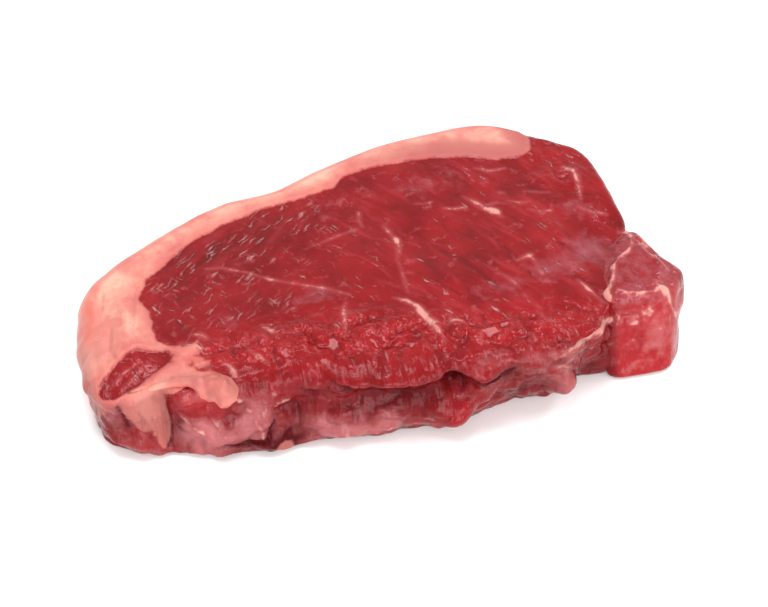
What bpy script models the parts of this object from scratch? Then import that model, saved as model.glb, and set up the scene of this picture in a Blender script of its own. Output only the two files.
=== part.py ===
"""A raw striploin steak: one thick slice of beef loin, lying on its lower cut face.

The body is a slab between two cut faces, lofted round an uneven outline. A small side muscle is
fused to its right end behind a deep cleft, and a tongue of fat folds over the rim at the near left.
Metres, +Z up. X runs along the loin muscle, +Y is the fat cap's side and -Y the ragged bone side.
The origin lies under the middle of the steak, on the surface that it rests on.
"""

import math

import bmesh
import bpy
import numpy as np

MM = 0.001
THICKNESS = 27.5  # between the cut faces, in millimetres, before the upper one's swells and dips

# Each station of an outline, in millimetres: x, y, height of the rim, radius of the rim's
# rounding, and how far the foot stands out past the rim (negative where the wall is undercut).
BODY_OUTLINE = [
    (-89.4, -11.3, 24.5, 9.0, -2.0),
    (-88.5, -23.8, 23.0, 6.0, -2.0),
    (-83.5, -32.8, 21.5, 3.5, -3.5),
    (-70.0, -34.3, 24.0, 3.0, 1.5),
    (-57.0, -37.3, 26.0, 4.0, 3.5),
    (-44.0, -39.3, 26.5, 6.0, 2.5),
    (-31.0, -40.3, 27.0, 8.0, 1.5),
    (-18.0, -43.8, 27.0, 8.0, -0.5),
    (-4.0, -47.8, 27.0, 8.0, -3.0),
    (10.0, -49.3, 27.0, 7.0, -3.0),
    (26.0, -49.3, 27.0, 5.0, -6.7),
    (42.0, -48.3, 26.5, 3.0, -6.0),
    (54.0, -44.3, 26.5, 2.5, -6.5),
    (61.0, -37.8, 26.0, 2.0, -2.0),
    (65.5, -26.8, 26.0, 2.0, -1.0),
    (72.0, -13.8, 26.0, 2.5, -1.0),
    (78.0, -3.8, 26.5, 3.0, -1.0),
    (78.5, 8.2, 27.0, 3.0, -1.0),
    (78.0, 21.2, 27.0, 3.0, -1.0),
    (74.5, 33.0, 27.0, 3.0, -1.0),
    (61.0, 44.0, 27.0, 3.0, -1.0),
    (48.0, 51.0, 27.0, 3.0, 0.0),
    (30.0, 51.4, 27.0, 3.5, 0.0),
    (12.5, 48.9, 27.0, 3.5, 0.0),
    (-4.5, 44.1, 27.0, 3.5, 0.0),
    (-20.5, 37.8, 27.0, 3.5, 0.0),
    (-38.5, 35.5, 27.0, 3.5, 0.0),
    (-56.5, 28.0, 27.0, 4.0, 0.0),
    (-72.5, 19.8, 27.0, 4.5, 0.0),
    (-84.0, 11.5, 26.0, 6.0, -1.0),
    (-88.0, 0.7, 25.0, 8.0, -2.0),
]
BODY_SPINE = ((-62.0, -4.8), (48.0, 1.2))

SIDE_MUSCLE_OUTLINE = [
    (63.0, -32.3, 26.0, 2.0, 8.5),
    (68.5, -34.3, 26.5, 2.5, 9.5),
    (78.0, -35.3, 26.5, 3.0, 8.5),
    (84.8, -31.8, 25.5, 4.0, 4.0),
    (88.8, -24.8, 25.0, 5.0, 0.0),
    (83.5, -14.3, 25.5, 4.0, 0.5),
    (78.6, -5.6, 25.5, 3.0, -1.0),
    (70.0, -8.8, 25.0, 3.0, -1.0),
    (63.0, -20.8, 25.0, 3.0, -1.0),
]
SIDE_MUSCLE_SPINE = ((72.0, -22.8), (78.0, -20.8))

# Lumps and hollows of the near wall, in millimetres: x and height of the middle, half length,
# half height, and how far the wall is pushed out (in, where negative).
WALL_RELIEF = {
    "muscle roll": (-7.0, 22.0, 17.0, 4.5, 3.0),
    "hollow under the roll": (-7.0, 15.0, 17.0, 3.0, -5.0),
    "trimmed ledge": (-18.0, 6.5, 19.0, 6.0, 3.2),
    "pit": (12.0, 19.5, 4.0, 4.5, -5.5),
    "hanging lobe": (17.5, 20.0, 5.0, 8.0, 2.5),
    "foot lobe": (11.5, 7.5, 6.5, 7.0, 4.0),
    "knob": (44.5, 9.5, 5.0, 6.0, 5.8),
    "dark hollow": (-32.5, 12.5, 5.5, 6.0, -3.5),
    "membrane bulge": (-52.0, 7.0, 8.0, 7.0, 2.0),
    "corner muscle": (-75.5, 3.5, 6.5, 6.0, 2.6),
    "fat lump": (-39.0, 2.5, 5.5, 4.0, 2.6),
    "upright crease": (-68.8, 12.0, 2.2, 11.0, -2.2),
}

# Swells and dips of the upper cut face, in millimetres: x, y, half length, half width, height.
FACE_RELIEF = {
    "dip inside the fat": (-62.0, 3.2, 12.0, 14.0, -1.0),
    "swell of the eye": (6.0, -14.8, 34.0, 18.0, 1.0),
    "dip at the far right": (52.0, 21.2, 18.0, 16.0, -0.8),
    "slump at the right end": (70.0, -6.8, 12.0, 12.0, -1.2),
}

# The tongue of fat folded over the rim, in millimetres: x, y, z and radius along its middle.
FAT_TONGUE = [
    (-84.0, -30.3, 20.0, 0.8),
    (-76.0, -31.6, 22.0, 2.0),
    (-67.5, -32.3, 23.4, 3.0),
    (-60.0, -33.8, 23.8, 4.0),
    (-54.0, -36.8, 22.3, 5.2),
    (-49.8, -39.1, 20.6, 4.2),
    (-47.3, -40.3, 19.6, 0.8),
]

# The foot's rounding and the mesh's step along the outline, in millimetres, and its rings.
FOOT_RADIUS = 2.0
SPACING = 3.2
FACE_RINGS = 8
RIM_RINGS = 4
WALL_RINGS = 10
FOOT_RINGS = 3
UNDERSIDE_RINGS = 3


def closed_curve(stations):
    """A smooth closed run through the stations: Catmull-Rom on every column."""
    p = np.array(stations)
    a, b, c, d = (np.roll(p, shift, 0)[:, None, :] for shift in (1, 0, -1, -2))
    t = np.linspace(0.0, 1.0, 40, endpoint=False)[None, :, None]
    run = b + 0.5 * t * (c - a + t * (2 * a - 5 * b + 4 * c - d + t * (3 * (b - c) + d - a)))
    return run.reshape(-1, p.shape[1])


def even_steps(run, spacing):
    """The closed run read again at even steps of its length in plan."""
    loop = np.concatenate([run, run[:1]])
    length = np.concatenate([[0.0], np.cumsum(np.hypot(*np.diff(loop[:, :2], axis=0).T))])
    wanted = np.linspace(0.0, length[-1], round(length[-1] / spacing), endpoint=False)
    return np.stack([np.interp(wanted, length, column) for column in loop.T], 1)


def nearest_on_spine(xy, spine):
    """For every point of the outline, the nearest place on the straight spine inside it."""
    start, end = np.array(spine)
    share = np.clip((xy - start) @ (end - start) / np.sum((end - start) ** 2), 0.0, 1.0)
    return start + share[:, None] * (end - start)


def bells(table, u, v):
    """The sum of the table's bells. Each row: middle u, middle v, half length, half width, height."""
    total = np.zeros(u.shape)
    for middle_u, middle_v, half_u, half_v, height in table.values():
        total += height * np.exp(-(((u - middle_u) / half_u) ** 2) - ((v - middle_v) / half_v) ** 2)
    return total


def slab_rings(stations, spine):
    """Rings from the upper face's spine to the rim, down the wall, and in again under the slab."""
    rows = even_steps(closed_curve(stations), SPACING)
    xy, rim, radius, foot = rows[:, :2], rows[:, 2:3], rows[:, 3:4], rows[:, 4:5]
    tangent = np.roll(xy, -1, 0) - np.roll(xy, 1, 0)
    out = np.stack([tangent[:, 1], -tangent[:, 0]], 1)
    out /= np.linalg.norm(out, axis=1, keepdims=True)
    heart = nearest_on_spine(xy, spine)
    shoulder, sole = xy - out * radius, xy + out * (foot - FOOT_RADIUS)
    wall_top = rim - radius
    rings = []
    for share in np.arange(1, FACE_RINGS + 1) / FACE_RINGS:
        height = THICKNESS + (rim - THICKNESS) * share**3
        rings.append((heart + (shoulder - heart) * share, height))
    for turn in np.arange(1, RIM_RINGS + 1) / RIM_RINGS * math.pi / 2:
        rings.append((shoulder + out * radius * math.sin(turn), wall_top + radius * math.cos(turn)))
    for share in np.arange(1, WALL_RINGS + 1) / WALL_RINGS:
        height = wall_top + (FOOT_RADIUS - wall_top) * share
        rings.append((xy + out * foot * share**1.5, height))
    for turn in np.arange(1, FOOT_RINGS + 1) / FOOT_RINGS * math.pi / 2:
        reach = out * FOOT_RADIUS * math.cos(turn)
        rings.append((sole + reach, np.full_like(rim, FOOT_RADIUS * (1 - math.sin(turn)))))
    for share in np.arange(UNDERSIDE_RINGS - 1, 0, -1) / UNDERSIDE_RINGS:
        rings.append((heart + (sole - heart) * share, np.zeros_like(rim)))
    return np.array([np.hstack(ring) for ring in rings]), out


def shaped(points, out):
    """The rings with the near wall's lumps pushed out and the upper face's swells raised."""
    x, y, z = points[..., 0], points[..., 1], points[..., 2]
    near = np.clip((-13.0 - y) / 8.0, 0.0, 1.0)
    push = bells(WALL_RELIEF, x, z) * near
    push[: FACE_RINGS - 1] = 0.0
    push[1 - UNDERSIDE_RINGS :] = 0.0
    swell = bells(FACE_RELIEF, x, y) * np.clip((z - 12.0) / 12.0, 0.0, 1.0)
    return points + np.concatenate([out * push[..., None], swell[..., None]], 2)


def add_mesh(name, points, faces, collection):
    mesh = bpy.data.meshes.new(name)
    mesh.from_pydata((points * MM).tolist(), [], faces)
    mesh.shade_smooth()
    made = bpy.data.objects.new(name, mesh)
    collection.objects.link(made)
    return made


def add_slab(name, stations, spine, collection):
    """A closed slab: the rings joined by quads, with one face closing the inside of each end."""
    points = shaped(*slab_rings(stations, spine))
    count, around = points.shape[:2]
    upper = np.arange(count * around).reshape(count, around)
    onward = np.roll(upper, -1, 1)
    quads = np.stack([upper[:-1], upper[1:], onward[1:], onward[:-1]], -1).reshape(-1, 4)
    faces = quads.tolist() + [upper[0].tolist(), upper[-1, ::-1].tolist()]
    return add_mesh(name, points.reshape(-1, 3), faces, collection)


def add_tongue(name, stations, collection):
    """A round strip of changing radius along the stations, as a mesh."""
    curve = bpy.data.curves.new(name, "CURVE")
    curve.dimensions = "3D"
    curve.bevel_depth = MM
    curve.bevel_resolution = 2
    curve.resolution_u = 4
    curve.use_fill_caps = True
    spline = curve.splines.new("NURBS")
    spline.points.add(len(stations) - 1)
    spline.use_endpoint_u = True
    spline.order_u = 3
    for point, (x, y, z, radius) in zip(spline.points, stations, strict=True):
        point.co = (x * MM, y * MM, z * MM, 1.0)
        point.radius = radius
    drawn = bpy.data.objects.new(name, curve)
    collection.objects.link(drawn)
    graph = bpy.context.evaluated_depsgraph_get()
    mesh = bpy.data.meshes.new_from_object(drawn.evaluated_get(graph))
    bpy.data.objects.remove(drawn)
    welded = bmesh.new()
    welded.from_mesh(mesh)
    bmesh.ops.remove_doubles(welded, verts=welded.verts, dist=0.01 * MM)
    welded.to_mesh(mesh)
    welded.free()
    collection.objects.link(bpy.data.objects.new(name, mesh))


def fuse(body, lumps):
    """One solid of the body and every lump in the collection."""
    union = body.modifiers.new("fuse", "BOOLEAN")
    union.operation = "UNION"
    union.operand_type = "COLLECTION"
    union.collection = lumps
    union.solver = "EXACT"
    bpy.context.view_layer.objects.active = body
    bpy.ops.object.modifier_apply(modifier=union.name)
    for lump in list(lumps.objects):
        bpy.data.objects.remove(lump)
    bpy.data.collections.remove(lumps)


def raw_beef():
    material = bpy.data.materials.new("raw_beef")
    material.use_nodes = True
    surface = material.node_tree.nodes["Principled BSDF"]
    surface.inputs["Base Color"].default_value = (0.28, 0.03, 0.035, 1.0)
    surface.inputs["Roughness"].default_value = 0.35
    surface.inputs["Metallic"].default_value = 0.0
    return material


for old in list(bpy.data.objects):
    bpy.data.objects.remove(old)
striploin_steak = bpy.data.collections.new("striploin_steak")
lumps = bpy.data.collections.new("lumps")
for collection in (striploin_steak, lumps):
    bpy.context.scene.collection.children.link(collection)
steak = add_slab("steak", BODY_OUTLINE, BODY_SPINE, striploin_steak)
add_slab("side_muscle", SIDE_MUSCLE_OUTLINE, SIDE_MUSCLE_SPINE, lumps)
add_tongue("fat_tongue", FAT_TONGUE, lumps)
fuse(steak, lumps)
steak.data.materials.clear()
steak.data.materials.append(raw_beef())
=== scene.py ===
import math

import bpy
import numpy as np
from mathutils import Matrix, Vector


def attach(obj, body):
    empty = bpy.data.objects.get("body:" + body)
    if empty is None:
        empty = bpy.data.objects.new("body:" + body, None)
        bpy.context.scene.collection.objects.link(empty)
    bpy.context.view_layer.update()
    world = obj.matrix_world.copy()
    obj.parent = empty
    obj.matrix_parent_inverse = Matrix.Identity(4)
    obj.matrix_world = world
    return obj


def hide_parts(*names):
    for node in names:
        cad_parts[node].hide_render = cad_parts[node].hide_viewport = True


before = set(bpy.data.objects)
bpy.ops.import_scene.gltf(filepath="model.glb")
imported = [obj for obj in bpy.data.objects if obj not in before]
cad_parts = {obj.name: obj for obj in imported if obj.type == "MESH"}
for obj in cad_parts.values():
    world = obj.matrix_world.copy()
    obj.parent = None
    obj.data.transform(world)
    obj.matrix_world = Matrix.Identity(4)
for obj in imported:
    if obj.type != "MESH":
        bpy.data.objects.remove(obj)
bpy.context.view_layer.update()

# Camera. It looks down at 45 degrees from the ragged near side, a little round to the left, with
# a long lens about 0.65 m away, so that the steak's far edge narrows only slightly.
aim = Vector((0.002, -0.0068, 0.014))
turn, tilt, distance = math.radians(-15.0), math.radians(45.0), 0.65
back = Vector(
    (math.sin(turn) * math.cos(tilt), -math.cos(turn) * math.cos(tilt), math.sin(tilt))
)
camera = bpy.data.objects.new("camera", bpy.data.cameras.new("camera"))
camera.data.lens = 103.0
camera.data.clip_start = 0.01
camera.location = aim + back * distance
camera.rotation_mode = "QUATERNION"
camera.rotation_quaternion = (-back).to_track_quat("-Z", "Y")
bpy.context.collection.objects.link(camera)
bpy.context.scene.camera = camera
bpy.context.scene.view_settings.view_transform = "Standard"

# The loin slab: one thick slice through the loin, its big eye muscle and the fat cap that
# borders it, cut straight through above and below and trimmed roughly along the near side. It
# is all one piece of flesh, so it is one skin.

# Each station of the outline, in millimetres: x, y, height of the rim, radius of the rim's
# rounding, and how far the foot stands out past the rim.
BODY_OUTLINE = [
    (-89.4, -11.3, 24.5, 9.0, -2.0),
    (-88.5, -23.8, 23.0, 6.0, -2.0),
    (-83.5, -32.8, 21.5, 3.5, -3.5),
    (-70.0, -34.3, 24.0, 3.0, 1.5),
    (-57.0, -37.3, 26.0, 4.0, 3.5),
    (-44.0, -39.3, 26.5, 6.0, 2.5),
    (-31.0, -40.3, 27.0, 8.0, 1.5),
    (-18.0, -43.8, 27.0, 8.0, -0.5),
    (-4.0, -47.8, 27.0, 8.0, -3.0),
    (10.0, -49.3, 27.0, 7.0, -3.0),
    (26.0, -49.3, 27.0, 5.0, -6.7),
    (42.0, -48.3, 26.5, 3.0, -6.0),
    (54.0, -44.3, 26.5, 2.5, -6.5),
    (61.0, -37.8, 26.0, 2.0, -1.0),
    (65.5, -26.8, 25.8, 1.4, -1.0),
    (72.0, -13.8, 25.8, 1.4, -1.0),
    (78.0, -3.8, 26.2, 2.0, -1.0),
    (78.5, 8.2, 27.0, 3.0, -1.0),
    (78.0, 21.2, 27.0, 3.0, -1.0),
    (74.5, 33.0, 27.0, 3.0, -1.0),
    (61.0, 44.0, 27.0, 3.0, -1.0),
    (48.0, 51.0, 27.0, 3.0, 0.0),
    (30.0, 51.4, 27.0, 3.5, 0.0),
    (12.5, 48.9, 27.0, 3.5, 0.0),
    (-4.5, 44.1, 27.0, 3.5, 0.0),
    (-20.5, 37.8, 27.0, 3.5, 0.0),
    (-38.5, 35.5, 27.0, 3.5, 0.0),
    (-56.5, 28.0, 27.0, 4.0, 0.0),
    (-72.5, 19.8, 27.0, 4.5, 0.0),
    (-84.0, 11.5, 26.0, 6.0, -1.0),
    (-88.0, 0.7, 25.0, 8.0, -2.0),
]

# The line in plan that the slab's columns of points start from, the step between their starts,
# how many columns there are, and how many rows each has on the face, the rim's rounding, the
# wall, the foot's rounding and the underside.
BODY_SPINE = ((-62.0, -4.8), (48.0, 1.2))
SPINE_STEP = 1.5
SLAB_COLUMNS = 600
SLAB_RINGS = (84, 12, 40, 4, 8)

# The height of the cut face's middle, the radius of the foot's rounding, and a millimetre.
THICKNESS = 27.5
FOOT_RADIUS = 2.0
MM = 0.001

# Lumps and hollows of the near wall: x and height of the middle, half length, half height, push.
WALL_RELIEF = [
    (-7.0, 24.6, 17.0, 3.4, 3.2),  # muscle roll
    (-4.0, 17.0, 18.0, 4.2, -4.2),  # hollow under the roll
    (-18.0, 6.5, 19.0, 6.5, 3.2),  # trimmed ledge
    (12.0, 19.5, 4.0, 4.5, -5.5),  # pit
    (17.5, 20.0, 5.0, 8.0, 2.5),  # hanging lobe
    (11.5, 7.5, 6.5, 7.0, 4.0),  # foot lobe
    (44.5, 8.6, 4.0, 5.0, 7.0),  # knob
    (42.0, 18.0, 6.0, 5.0, 1.6),  # fan above the knob
    (61.0, 4.0, 3.5, 7.0, 3.4),  # foot beside the side muscle
    (-32.5, 12.5, 5.5, 6.0, -2.2),  # dark hollow
    (-52.0, 7.0, 8.0, 7.0, 2.0),  # membrane bulge
    (-75.5, 3.5, 6.5, 6.0, 2.6),  # corner muscle
    (-39.0, 2.5, 5.5, 4.0, 2.6),  # fat lump
    (-68.8, 12.0, 2.2, 11.0, -2.2),  # upright crease
]

# Swells and dips of the upper cut face: x, y, half length, half width, height.
FACE_RELIEF = [
    (-62.0, 3.2, 12.0, 14.0, -1.0),
    (6.0, -14.8, 34.0, 18.0, 1.0),
    (52.0, 21.2, 18.0, 16.0, -0.8),
    (70.0, -6.8, 12.0, 12.0, -1.2),
    (56.5, -1.5, 2.2, 4.5, 0.7),
    (69.0, 20.0, 1.8, 5.0, 0.8),
    (-74.5, -6.0, 3.0, 16.0, 0.5),
]

# Shallow folds in the fat at the slab's end: x, y and half width.
FAT_FOLDS = [
    [(-68.6, 6.4, 0.1), (-70.7, 1.5, 0.4), (-72.3, -5.0, 0.5), (-73.6, -11.0, 0.4),
     (-71.2, -15.3, 0.2)],
    [(-71.9, -10.5, 0.1), (-70.2, -15.6, 0.4), (-67.0, -19.2, 0.4), (-63.0, -20.6, 0.1)],
    [(-78.8, 6.8, 0.1), (-80.3, 1.7, 0.4), (-82.7, -3.9, 0.4), (-84.3, -8.5, 0.1)],
    [(-81.2, -3.5, 0.1), (-83.2, -10.0, 0.5), (-84.8, -16.5, 0.5), (-85.0, -23.6, 0.3)],
    [(-79.0, -8.0, 0.1), (-80.5, -14.0, 0.4), (-79.5, -19.5, 0.1)],
    [(-88.0, -4.0, 0.2), (-88.0, -12.8, 0.5), (-88.3, -21.0, 0.4), (-87.5, -28.7, 0.2)],
]

# Small wet facets of the lean, tilted so that each one mirrors the light: x, y, half length, half
# width and turn in degrees.
FACETS = [
    (25.2, -37.9, 2.3, 1.8, 10.0),
    (30.2, -35.8, 2.0, 1.1, 20.0),
    (-19.0, -30.9, 1.4, 1.9, 15.0),
    (-24.3, -35.3, 1.8, 1.5, -5.0),
    (-7.7, -34.3, 0.9, 1.5, 10.0),
    (-5.0, -32.6, 0.9, 1.1, -20.0),
    (2.0, -36.5, 0.8, 1.2, 5.0),
    (-33.0, -31.5, 0.7, 1.1, 20.0),
    (-36.5, -26.2, 0.6, 1.2, 25.0),
    (72.2, -1.4, 0.9, 0.7, 0.0),
    (69.4, -0.1, 0.8, 0.6, 0.0),
    (-49.5, -12.4, 0.5, 1.2, 35.0),
]

# The line round the lean of the eye muscle on the cut face. The fat cap lies outside it, and the
# line leaves the slab where the lean reaches the rim.
EYE_LEAN = [
    (61.0, 60.0), (61.0, 38.3), (60.2, 35.6), (58.6, 33.6), (55.3, 32.5), (49.1, 33.2),
    (41.0, 36.3), (31.9, 38.3), (19.4, 39.2), (8.2, 38.9), (3.3, 38.3), (-0.3, 36.4),
    (-2.7, 33.2), (-6.0, 32.3), (-14.2, 30.7), (-26.3, 29.3), (-36.7, 26.6), (-46.7, 22.5),
    (-57.0, 16.0), (-65.4, 9.1), (-69.5, 1.6), (-67.4, -4.4), (-67.5, -12.7), (-67.1, -16.8),
    (-62.6, -20.1), (-60.7, -21.8), (-56.6, -20.1), (-56.2, -23.8), (-60.3, -25.9),
    (-58.7, -30.0), (-54.9, -31.0), (-52.0, -33.4), (-47.6, -38.1), (-47.0, -60.0),
    (110.0, -60.0), (110.0, 60.0),
]
SMALL_LEAN = [
    (-85.1, -25.1), (-83.0, -22.5), (-79.1, -20.0), (-75.9, -18.0), (-73.2, -17.5),
    (-70.0, -19.6), (-66.0, -20.6), (-62.9, -22.9), (-64.6, -25.2), (-68.4, -27.0),
    (-71.6, -28.4), (-75.3, -29.4), (-79.1, -30.0), (-82.9, -30.8), (-85.2, -29.6),
    (-85.9, -27.7),
]

# Veins of fat in the lean of the cut face: x, y and half width along each. Where the half width
# is nought or less, the vein shows only in places.
VEINS = [
    [(1.9, -18.3, 0.2), (4.9, -20.4, 0.8), (7.4, -23.6, 1.3), (9.4, -29.5, 1.2),
     (10.6, -35.0, 0.8)],
    [(10.6, -35.0, 0.7), (12.0, -38.6, 0.1)],
    [(10.0, -30.3, 0.3), (13.4, -31.8, 0.5), (16.2, -31.3, 0.9), (18.4, -32.0, 0.2)],
    [(7.0, 12.0, 0.1), (8.0, 8.9, 0.5), (9.0, 5.1, 0.8), (8.6, 0.7, 0.6), (7.2, -3.0, 0.2)],
    [(7.2, -3.0, 0.1), (7.0, -9.9, 0.3), (6.4, -17.1, 0.1)],
    [(-47.8, 8.4, 0.0), (-43.0, 7.4, 0.5), (-36.0, 3.4, 0.1), (-30.8, -0.8, 0.3)],
    [(-30.8, -0.8, 0.3), (-22.5, -5.6, 0.3), (-16.2, -8.9, 0.2), (-10.1, -13.6, 0.0)],
    [(-12.2, -16.6, 0.5), (-13.6, -20.3, 0.8), (-14.4, -25.3, 0.5), (-14.6, -28.2, 0.1)],
    [(33.6, 19.4, 0.2), (36.4, 16.0, 0.8), (38.8, 12.3, 1.1), (41.2, 10.2, 1.2), (42.4, 7.6, 0.3)],
    [(38.1, 13.4, 0.6), (42.8, 14.1, 0.3), (46.0, 12.6, 0.1)],
    [(41.5, -12.1, 0.5), (45.0, -11.3, 0.9), (46.1, -14.0, 0.4), (46.4, -19.4, 0.2)],
    [(34.6, -16.8, 0.2), (36.6, -19.4, 0.5), (38.6, -23.6, 0.1)],
    [(46.6, 14.1, 0.2), (49.6, 12.2, 0.5), (52.6, 12.0, 0.2)],
    [(54.0, 16.6, 0.2), (57.4, 15.0, 0.4), (59.6, 14.6, 0.1)],
    [(51.0, 8.6, 0.1), (54.6, 7.0, 0.4), (57.6, 6.6, 0.1)],
    [(67.6, 24.6, 0.3), (69.3, 21.1, 0.9), (69.1, 15.5, 0.7), (68.0, 9.6, 0.3)],
    [(66.2, 6.4, 0.2), (70.0, 3.4, 0.5), (73.6, 1.6, 0.3)],
    [(-18.0, 8.6, -0.3), (-9.8, 11.0, 0.0), (-4.8, 12.4, 0.3), (-1.3, 13.2, 0.0)],
    [(1.4, 20.4, 0.3), (0.3, 17.0, 0.6), (0.9, 13.9, 0.2)],
    [(55.8, -24.2, 0.1), (57.8, -28.6, 0.6), (60.3, -33.8, 0.4)],
    [(18.7, 19.3, 0.2), (21.0, 18.6, 0.4), (23.4, 18.8, 0.1)],
    [(26.9, 15.3, 0.1), (29.9, 14.3, 0.5), (32.6, 14.6, 0.1)],
    [(40.6, 31.0, 0.2), (44.4, 28.8, 0.6), (50.0, 28.8, 0.2)],
    [(-57.0, -17.0, 0.3), (-54.8, -17.6, 0.7), (-53.6, -19.6, 0.8)],
    [(-61.0, -19.6, 0.4), (-58.4, -20.6, 0.9), (-56.0, -22.6, 0.6)],
    [(-50.2, -30.0, 0.3), (-48.6, -33.0, 0.9), (-47.8, -36.0, 0.3)],
    [(-43.0, -27.6, 0.3), (-40.8, -29.6, 0.8), (-39.0, -32.4, 0.3)],
    [(-37.0, -18.6, 0.2), (-35.0, -21.0, 0.6), (-33.8, -24.0, 0.2)],
    [(-82.4, -26.6, 0.0), (-78.2, -24.0, 0.3), (-74.4, -22.6, -0.1)],
    [(-79.6, -28.4, -0.1), (-75.4, -26.0, 0.3), (-71.0, -23.6, 0.0)],
]

# The same on the near wall, as x, height and half width: the edge of a sheet of fat along the
# rim, folds of pale membrane, and beads and shreds of fat that the trimming left.
WALL_VEINS = [
    [(38.9, 22.3, 0.4), (42.5, 24.5, 1.0), (47.5, 25.3, 1.5), (52.7, 25.3, 1.7),
     (57.5, 24.6, 1.6)],
    [(57.5, 24.6, 1.6), (60.3, 23.1, 1.3), (62.0, 20.5, 0.8)],
    [(49.5, 19.8, 0.1), (54.4, 17.1, 0.5), (57.9, 15.2, 0.1)],
    [(-65.4, 16.4, 0.5), (-63.0, 13.4, 1.2), (-60.6, 10.6, 1.1), (-57.8, 8.0, 0.6)],
    [(-56.6, 14.4, 0.3), (-54.4, 11.0, 1.0), (-53.0, 7.8, 0.3)],
    [(-46.8, 16.9, 1.5), (-46.0, 15.9, 1.4)],
    [(-49.2, 20.9, 1.0), (-48.4, 20.0, 1.2)],
    [(-44.6, 12.5, 0.5), (-43.3, 9.2, 1.3), (-42.7, 6.8, 0.6)],
    [(-41.0, 20.3, 0.6), (-41.4, 15.0, 1.1), (-42.4, 11.8, 0.5)],
    [(-39.0, 23.2, 0.5), (-38.6, 20.8, 0.8), (-38.9, 18.6, 0.3)],
    [(-35.9, 16.4, 1.4), (-35.0, 16.6, 1.4)],
    [(-38.4, 15.6, 0.6), (-37.6, 16.5, 0.8)],
    [(-22.0, 21.4, 0.2), (-19.6, 20.4, 0.7), (-17.0, 19.4, 0.3)],
    [(-10.0, 12.4, 0.5), (-8.0, 12.0, 1.0), (-6.8, 10.4, 0.9)],
    [(-5.8, 8.0, 0.3), (-6.2, 5.6, 0.8), (-7.0, 4.0, 0.3)],
    [(-31.5, 3.4, 0.4), (-29.0, 4.4, 1.1), (-26.4, 4.2, 0.4)],
    [(-20.6, 5.6, 0.3), (-18.2, 5.2, 0.9), (-16.4, 4.2, 0.2)],
    [(-12.0, 4.6, 0.5), (-9.4, 3.6, 0.9)],
    [(9.0, 14.1, 0.8), (9.4, 14.3, 0.8)],
    [(12.6, 14.2, 0.9), (13.4, 14.3, 0.7)],
    [(2.0, 8.3, 0.5), (4.9, 8.1, 0.7)],
    [(16.2, 6.3, 0.3), (21.5, 9.0, 0.5), (23.8, 12.5, 0.7), (25.1, 15.2, 0.6), (26.5, 18.4, 0.3)],
    [(40.0, 19.8, 0.3), (43.2, 19.8, 0.8), (46.2, 16.8, 0.5), (48.6, 12.4, 0.2)],
]

# Fat on the near wall, as x and height: the corner that the fold hangs over, and a lump low down.
CORNER_FAT = [
    (-100.0, 30.0), (-69.4, 30.0), (-69.0, 15.0), (-68.8, 6.0), (-70.3, 3.5), (-71.8, 7.8),
    (-73.8, 10.1), (-76.6, 10.4), (-79.2, 12.0), (-80.2, 16.5), (-81.6, 20.0), (-84.0, 21.0),
    (-86.0, 18.5), (-87.2, 13.0), (-88.6, 9.0), (-100.0, 6.0),
]
LOW_FAT = [
    (-39.6, 2.6), (-38.6, 4.4), (-36.8, 4.6), (-34.9, 3.6), (-33.8, 1.6), (-34.6, -2.0),
    (-39.0, -2.0),
]

# Knife cuts and deep folds in the near wall, as x, height and half width. Each is 1.5 times as
# deep as its half width.
WALL_CUTS = [
    [(-82.6, 21.0, 0.1), (-80.6, 16.0, 0.8), (-79.6, 11.5, 0.5)],
    [(-76.8, 18.5, 0.0), (-75.4, 14.0, 0.4), (-75.8, 10.5, 0.2)],
    [(-73.2, 17.0, 0.0), (-72.0, 11.0, 0.4), (-71.6, 7.0, 0.2)],
    [(-69.3, 23.0, 0.4), (-68.8, 15.5, 1.0), (-68.5, 9.7, 1.1), (-68.8, 3.6, 0.7)],
    [(-56.9, 4.5, 0.1), (-53.1, 6.0, 0.5), (-49.9, 4.8, 0.6)],
    [(-49.9, 4.8, 0.8), (-45.5, 5.3, 1.1), (-41.8, 5.7, 1.2), (-40.2, 8.4, 0.8),
     (-38.8, 10.5, 0.2)],
    [(-24.5, 26.0, 0.3), (-21.8, 24.0, 1.0), (-19.3, 22.4, 1.2), (-15.5, 21.4, 1.3)],
    [(-15.5, 21.4, 1.3), (-10.3, 20.6, 1.4), (-4.9, 20.4, 1.4), (-0.7, 21.0, 1.3),
     (4.5, 22.0, 0.9)],
    [(8.7, 24.4, 0.8), (10.9, 23.0, 1.6), (12.6, 20.5, 1.8), (12.2, 18.4, 0.8)],
    [(13.4, 23.6, 0.2), (14.4, 19.6, 0.8), (14.9, 17.6, 0.8), (14.1, 15.3, 0.2)],
    [(15.0, 21.0, 0.5), (19.5, 20.7, 1.1), (24.3, 20.6, 1.1), (28.0, 21.8, 0.7),
     (30.4, 24.0, 0.2)],
    [(46.6, 14.4, 0.1), (48.6, 11.0, 0.7), (48.9, 7.0, 0.5)],
    [(38.4, 10.0, 0.1), (39.6, 6.0, 0.5), (40.6, 3.0, 0.3)],
]

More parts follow.
